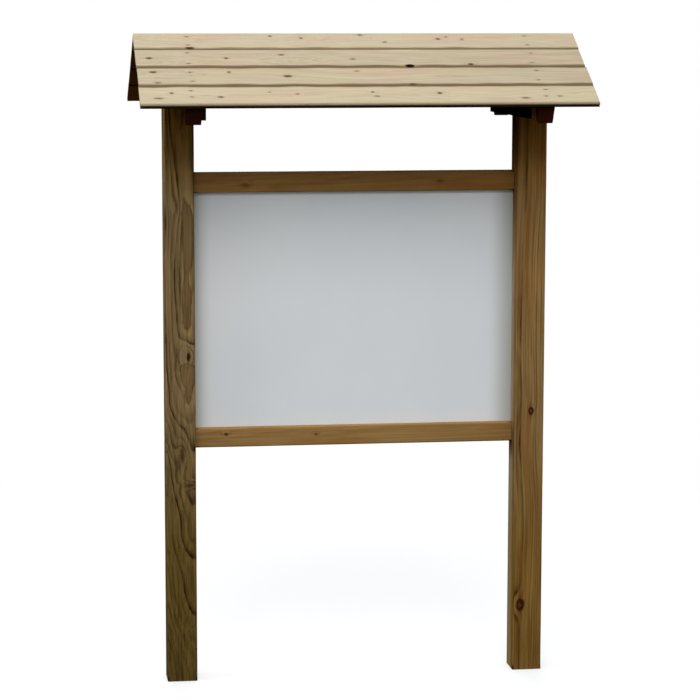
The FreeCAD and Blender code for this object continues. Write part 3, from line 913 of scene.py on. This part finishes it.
def board_start(course):
    return 0 if course == 1 else RIDGE_COVER + (course - 2) * BOARD_COVER


def slope_axes(sign):
    """Down the slope, and out of it."""
    down = Vector((0, sign * math.cos(ROOF_SLOPE), -math.sin(ROOF_SLOPE)))
    outward = Vector((0, sign * math.sin(ROOF_SLOPE), math.cos(ROOF_SLOPE)))
    return down, outward


def nail_places(slope, course):
    """Two nails over each rafter, as x and the distance from the board's upper edge."""
    draw = random.Random(f"{slope} {course}")
    places = []
    for side in SIDES:
        low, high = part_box(f"{side}_{slope}_rafter")
        for step in NAIL_STEPS[course]:
            x = (low.x + high.x) / 2 / MM + draw.uniform(-NAIL_STRAY_ALONG, NAIL_STRAY_ALONG)
            places.append((x, step + draw.uniform(-NAIL_STRAY_DOWN, NAIL_STRAY_DOWN)))
    return places


def make_roof_board(slope, sign, course):
    node = f"{slope}_roof_board_{course}"
    down = slope_axes(sign)[0]
    origin = RIDGE + down * board_start(course) * MM
    cover = RIDGE_COVER if course == 1 else BOARD_COVER
    lower_edge = cover - JOINT_EDGE
    half_length = (cad_high.x - cad_low.x) / 2 / MM
    is_eave = course == COURSES[-1]
    seed = BOARD_SEED + COURSE_SEED * course + sign
    draw = random.Random(seed)
    knots = FRONT_KNOTS[course] if slope == "front" else scattered_knots(seed, cover)
    knots = [(*knot[:4], KNOT_TONE * knot[4]) for knot in knots]
    smudges = [(-sign * x, step, *NAIL_SMUDGE) for x, step in nail_places(slope, course)]
    trims = (draw.uniform(*END_SHORT), draw.uniform(*END_SHORT))

    def stain_and_shading(along, across, depth):
        """Depth of dirt and painted shade: in the joints, spread over the edges of each, and on the eave's
        lower edge.
        """
        if depth > UNDERSIDE and JOINT_EDGE < across < lower_edge:
            return 0.0
        if is_eave and across > lower_edge:
            # Painted shade on the eave's lower edge, from a little way in
            return depth - EAVE_UNSHADED_DEPTH
        if across > lower_edge:
            return JOINT_DIRT_AND_SHADE[course] * (depth + JOINT_FACE_DIRT_AND_SHADE)
        if course > 1 and across < JOINT_EDGE:
            return JOINT_DIRT_AND_SHADE[course - 1] * (depth + JOINT_FACE_DIRT_AND_SHADE)
        if depth >= TOP_SKIN:
            return END_DARKENING * depth
        patchy = 1.0 + noise.noise(Vector((along * PATCHY_SCALE, course, PATCHY_LAYER * sign)))
        above = DIRT_AND_SHADE_ABOVE.get(course, 0) * max(0.0, 1 - (lower_edge - across) / JOINT_SPREAD)
        below = DIRT_AND_SHADE_BELOW.get(course - 1, 0) * max(0.0, 1 - (across - JOINT_EDGE) / JOINT_SPREAD)
        return max(above, below) * patchy

    def damp_and_shade(along, across, depth):
        """Painted shade underneath, warm and dark; grey along the eave."""
        if depth > UNDERSIDE:
            return -1.0
        return portion(across, *[cover - edge for edge in EAVE_GREY]) if is_eave else 0.0

    def tint(along, across, depth):
        """A tone for each board, with painted shade darkening it a little towards its right end."""
        return BOARD_TINT[course] - BOARD_FADE[course] * max(0.0, along / half_length)

    def end_trim(along, across, depth):
        """Ends cut by hand, a little short of the full length."""
        near_end = portion(abs(along), half_length - END_STRETCH, half_length)
        return -math.copysign(trims[along > 0] * near_end, along)

    pith = []
    for step in range(BOARD_PITH_POINTS):
        place = (draw.uniform(*BOARD_PITH_ACROSS), draw.uniform(*BOARD_PITH_DEPTH))
        pith.append((BOARD_PITH_START + BOARD_PITH_STEP * step, *place))
    cuts = (
        JOINT_EDGE + CUT_BESIDE, JOINT_EDGE + JOINT_SPREAD,
        lower_edge - JOINT_SPREAD, lower_edge - CUT_BESIDE,
    )
    piece = timber(
        node, ROOF_WOOD, origin, ALONG_X * -sign, down, BOARD_SPACING, pith, seed, knots=knots + smudges,
        extra_cuts=cuts, tint=tint, stain_and_shading=stain_and_shading, damp_and_shade=damp_and_shade, end_trim=end_trim,
    )


for slope, sign in SLOPES.items():
    for course in COURSES:
        make_roof_board(slope, sign, course)

# Rafters and tie boards, in near-black wood as painted shade under the roof; the left rafters darker
RAFTER_SPACING = (25, 15, 15)
RAFTER_PITH = [(0, 10, 60), (400, 14, 64)]
RAFTER_SEED = 60
RAFTER_TINT = {"left": 0.78, "right": 1.1}
TIE_PITH = [(-300, 30, 60), (300, 36, 66)]
TIE_SEED = 70
TIE_END_LIGHT = {"left": 0.5, "right": 1.4}


def make_rafter(side, side_sign, slope, sign):
    low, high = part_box(f"{side}_{slope}_rafter")
    origin = Vector((low.x, 0, cad_high.z))
    down, outward = slope_axes(sign)
    piece = timber(
        f"{side}_{slope}_rafter", RAFTER_WOOD, origin, down, -outward, RAFTER_SPACING, RAFTER_PITH,
        RAFTER_SEED + 2 * side_sign + sign, tint=everywhere(RAFTER_TINT[side]),
    )


def make_tie_board(side, side_sign):
    low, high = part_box(f"{side}_tie_board")
    end = high.y / MM
    eased = end - EASED_EDGE / MM

    def damp_and_shade(along, across, depth):
        """Painted shade all over but on the ends."""
        return portion(abs(along), end, eased)

    def stain_and_shading(along, across, depth):
        """Painted light on the ends, in brown."""
        return TIE_END_LIGHT[side] * portion(abs(along), eased, end)

    piece = timber(
        f"{side}_tie_board", RAFTER_WOOD, Vector((low.x, 0, low.z)), ALONG_Y, UP, RAFTER_SPACING, TIE_PITH,
        TIE_SEED + side_sign, damp_and_shade=damp_and_shade, stain_and_shading=stain_and_shading,
    )


for side, side_sign in SIDES.items():
    for slope, sign in SLOPES.items():
        make_rafter(side, side_sign, slope, sign)
    make_tie_board(side, side_sign)

# Nails and screws: turned profiles of radius and height, from the head down to the point
STEEL_CREASE = math.radians(40)
NAIL_SIDES = 14
NAIL_HEAD = 3.5
NAIL_SHANK = 1.55
NAIL_LENGTH = 40
NAIL_PROFILE = [
    (0.0, 0.5), (2.2, 0.42), (3.2, 0.15), (NAIL_HEAD, -0.15), (3.2, -0.5), (NAIL_SHANK, -0.6),
    (NAIL_SHANK, -NAIL_LENGTH + 4), (0.0, -NAIL_LENGTH),
]
TIE_NAILS = [(-270, 36), (-248, 46), (-22, 18), (22, 42), (248, 46), (270, 36)]
SCREW_SIDES = 24
SCREW_HEAD = 6
SCREW_SHANK = 3
SCREW_CORE = 2.1
SCREW_POINT = 6
DRIVE_APOTHEM = 2
DRIVE_DEPTH = 2.5
HEAD_EDGE = 0.2
PLAIN_SHARE = 0.45
THREAD_PITCH = 2.6
THREAD_STEPS = 6
CREST_SHARE = 0.28


def drive_edge(angle):
    """Radius of the hexagonal recess in a screw's head."""
    return DRIVE_APOTHEM / math.cos(angle % (math.pi / 3) - math.pi / 6)


def thread_edge(height, length):
    """Radius by angle at a height on the thread, which winds down the core and runs out at the point."""
    taper = min(1.0, (length + height) / SCREW_POINT)

    def radius(angle):
        turn = (height / THREAD_PITCH + angle / (2 * math.pi)) % 1
        crest = max(0.0, 1 - abs(turn - 0.5) / CREST_SHARE)
        return taper * (SCREW_CORE + (SCREW_SHANK - SCREW_CORE) * crest)

    return radius


def screw_profile(length):
    """Countersunk wood screw: recess, head, plain shank, thread and point."""
    plain = -PLAIN_SHARE * length
    step = THREAD_PITCH / THREAD_STEPS
    heights = [plain - step * turn for turn in range(1, int((length + plain) / step))]
    return [
        (0, -DRIVE_DEPTH), (drive_edge, -DRIVE_DEPTH), (drive_edge, 0), (SCREW_HEAD - HEAD_EDGE, 0),
        (SCREW_HEAD - HEAD_EDGE, -HEAD_EDGE), (SCREW_SHANK, SCREW_SHANK - SCREW_HEAD), (SCREW_SHANK, plain),
        *[(thread_edge(height, length), height) for height in heights], (0, -length),
    ]


def add_turned(mesh, place, outward, profile, sides):
    """One turned piece with its head at a place on a face; a radius may be a function of the angle."""
    turn = outward.to_track_quat("Z", "Y").to_matrix()
    rings = []
    for radius, height in profile:
        count = 1 if radius == 0 else sides
        ring = []
        for step in range(count):
            angle = 2 * math.pi * step / count
            reach = radius(angle) if callable(radius) else radius
            local = Vector((reach * math.cos(angle), reach * math.sin(angle), height)) * MM
            ring.append(mesh.verts.new(place + turn @ local))
        rings.append(ring)
    for upper, lower in zip(rings, rings[1:]):
        for step in range(sides):
            after = (step + 1) % sides
            corners = [
                upper[step % len(upper)], lower[step % len(lower)],
                lower[after % len(lower)], upper[after % len(upper)],
            ]
            mesh.faces.new(list(dict.fromkeys(corners)))


def steel_group(name, material, sides, turned):
    """One piece of many nails or screws, each with its place, direction and profile."""
    mesh = bmesh.new()
    for place, outward, profile in turned:
        add_turned(mesh, place, outward, profile, sides)
    piece = new_piece(name, mesh, material)
    piece.data.set_sharp_from_angle(angle=STEEL_CREASE)
    return piece


def roof_nails():
    turned = []
    for slope, sign in SLOPES.items():
        down, outward = slope_axes(sign)
        for course in COURSES:
            for x, step in nail_places(slope, course):
                place = RIDGE + down * (board_start(course) + step) * MM
                turned.append((place + ALONG_X * x * MM, outward, NAIL_PROFILE))
    return turned


def tie_nails():
    turned = []
    for side, sign in SIDES.items():
        low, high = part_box(f"{side}_tie_board")
        inner_x = high.x if sign < 0 else low.x
        for along, rise in TIE_NAILS:
            place = Vector((inner_x, along * MM, low.z + rise * MM))
            turned.append((place, ALONG_X * -sign, NAIL_PROFILE))
    return turned


def screws(node):
    """Screws of a node, each read from its own solid there: head outward along X, and as long."""
    mesh = solid_mesh(node)
    waiting = set(mesh.verts)
    boxes = []
    while waiting:
        reached = [waiting.pop()]
        for vertex in reached:
            near = [edge.other_vert(vertex) for edge in vertex.link_edges]
            reached += [other for other in near if other in waiting]
            waiting.difference_update(near)
        spread = [sorted(vertex.co[axis] for vertex in reached) for axis in range(3)]
        boxes.append([(values[0], values[-1]) for values in spread])
    mesh.free()
    turned = []
    for (x_low, x_high), (y_low, y_high), (z_low, z_high) in sorted(boxes):
        side = 1 if x_high > 0 else -1
        head = Vector((x_high if side > 0 else x_low, (y_low + y_high) / 2, (z_low + z_high) / 2))
        turned.append((head, ALONG_X * side, screw_profile((x_high - x_low) / MM)))
    return turned


steel_group("roof_nails", DULL_STEEL, NAIL_SIDES, roof_nails())
steel_group("tie_nails", SHADED_STEEL, NAIL_SIDES, tie_nails())
for node in ("rail_screws", "rafter_screws"):
    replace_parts(steel_group(f"{node}_threaded", DULL_STEEL, SCREW_SIDES, screws(node)), node)

# Panel: the flat sheet keeps its solid
panel_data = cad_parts["notice_panel"].data
panel_data.materials.clear()
panel_data.materials.append(PANEL_SHEET)

# Floor: pale, with the shadow kept round the object and pure white beyond, in metres
FLOOR_HALF = 60
FLOOR_DROP = 0.5 * MM
FLOOR_CLOUD_SCALE = 0.6
SHADOW_REACH = 1.2
WHITE_BEYOND = 3.4
WHITE_AT_FOOT = 0.55


def seen_or_mirrored(g):
    """One for rays from the camera, a shiny face or glass, and zero for light that is scattered."""
    rays = g.node("ShaderNodeLightPath").outputs
    mirrored = g.math("MAXIMUM", rays["Is Glossy Ray"], rays["Is Transmission Ray"])
    return g.math("MAXIMUM", rays["Is Camera Ray"], mirrored)


def pale_floor():
    """Pale floor that keeps the object's shadow and throws little light back up."""
    g = Graph(bpy.data.materials.new("pale_floor"))
    place = g.node("ShaderNodeTexCoord").outputs["Object"]
    cloud = g.noise(place, FLOOR_CLOUD_SCALE, 2.0)
    lit = g.node("ShaderNodeBsdfDiffuse")
    g.link(g.mix(cloud, srgb(247, 247, 247), srgb(243, 243, 243)), lit.inputs["Color"])
    glow = g.node("ShaderNodeEmission")
    glow.inputs["Strength"].default_value = 1.0
    away = g.node("ShaderNodeVectorMath", operation="LENGTH")
    g.link(place, away.inputs[0])
    white = g.smooth(away.outputs["Value"], SHADOW_REACH, WHITE_BEYOND, WHITE_AT_FOOT, 1.0)
    pale = g.mix_shaders(white, lit.outputs[0], glow.outputs[0])
    dim = g.node("ShaderNodeBsdfDiffuse")
    g.link(g.mix(cloud, srgb(96, 98, 92), srgb(90, 92, 86)), dim.inputs["Color"])
    seen = g.mix_shaders(seen_or_mirrored(g), dim.outputs[0], pale)
    return g.output("ShaderNodeOutputMaterial", seen)


def make_floor():
    corners = [(x * FLOOR_HALF, y * FLOOR_HALF, 0) for x, y in ((-1, -1), (1, -1), (1, 1), (-1, 1))]
    floor_mesh = bpy.data.meshes.new("floor")
    floor_mesh.from_pydata(corners, [], [(0, 1, 2, 3)])
    floor_mesh.materials.append(pale_floor())
    floor = bpy.data.objects.new("floor", floor_mesh)
    floor.location.z = -FLOOR_DROP
    bpy.context.scene.collection.objects.link(floor)


make_floor()

# Sky: plain white where it is seen, and a soft cool light that grows towards the top
SKY_COLOUR = (0.97, 0.985, 1.0, 1)
SKY_AT_HORIZON = 0.4
SKY_OVERHEAD = 0.85


def make_sky():
    g = Graph(bpy.data.worlds.new("sky"))
    up = g.parts(g.node("ShaderNodeTexCoord").outputs["Generated"])[2]
    rise = g.node("ShaderNodeMapRange")
    g.link(up, rise.inputs["Value"])
    rise.inputs["To Min"].default_value = SKY_AT_HORIZON
    rise.inputs["To Max"].default_value = SKY_OVERHEAD
    soft = g.node("ShaderNodeBackground")
    soft.inputs["Color"].default_value = SKY_COLOUR
    g.link(rise.outputs["Result"], soft.inputs["Strength"])
    white = g.node("ShaderNodeBackground")
    white.inputs["Color"].default_value = (1, 1, 1, 1)
    white.inputs["Strength"].default_value = 1.0
    seen = g.mix_shaders(seen_or_mirrored(g), soft.outputs[0], white.outputs[0])
    bpy.context.scene.world = g.output("ShaderNodeOutputWorld", seen)


make_sky()

# Lamps: three soft boxes, aimed at the middle of the board or low on its right side
BOARD_MIDDLE = (0, 0, 1.1)
LOW_RIGHT = (0.4, 0, 0.9)
WHITE_LIGHT = (1, 1, 1)
COOL_LIGHT = (0.86, 0.97, 1.1)


def soft_box(name, place, target, side, power, colour=WHITE_LIGHT):
    lamp = bpy.data.lights.new(name, "AREA")
    lamp.color = colour
    lamp.shape = "SQUARE"
    lamp.size = side
    lamp.energy = power
    holder = bpy.data.objects.new(name, lamp)
    holder.location = place
    holder.rotation_euler = (Vector(target) - Vector(place)).to_track_quat("-Z", "Y").to_euler()
    bpy.context.scene.collection.objects.link(holder)


soft_box("key_light", place=(-0.8, -6.0, 7.0), target=BOARD_MIDDLE, side=4.5, power=420)
soft_box("back_light", place=(0.6, 6.5, 5.5), target=BOARD_MIDDLE, side=4.5, power=230)
soft_box("side_light", place=(-6.5, -0.9, 3.0), target=LOW_RIGHT, side=3.0, power=170, colour=COOL_LIGHT)

# Camera of the photograph, fitted to its edges, for a square picture
PICTURE_SIDE = 700
FOCAL_PIXELS = 2440
OPTICAL_CENTRE_X = 320
CAMERA_PLACE = Vector((-1.0617, -7.2477, 1.9834))
CAMERA_YAW = 0.1311
CAMERA_PITCH = 0.1335
SENSOR = 36
VIEW_DEPTH = 200


def make_camera():
    lens = bpy.data.cameras.new("camera")
    lens.sensor_fit = "HORIZONTAL"
    lens.sensor_width = SENSOR
    lens.lens = SENSOR * FOCAL_PIXELS / PICTURE_SIDE
    lens.shift_x = (PICTURE_SIDE / 2 - OPTICAL_CENTRE_X) / PICTURE_SIDE
    lens.clip_end = VIEW_DEPTH
    camera = bpy.data.objects.new("camera", lens)
    camera.location = CAMERA_PLACE
    ahead = Vector((
        math.sin(CAMERA_YAW) * math.cos(CAMERA_PITCH),
        math.cos(CAMERA_YAW) * math.cos(CAMERA_PITCH),
        -math.sin(CAMERA_PITCH),
    ))
    camera.rotation_euler = ahead.to_track_quat("-Z", "Y").to_euler()
    bpy.context.scene.collection.objects.link(camera)
    bpy.context.scene.camera = camera


make_camera()
bpy.context.scene.view_settings.view_transform = "Standard"
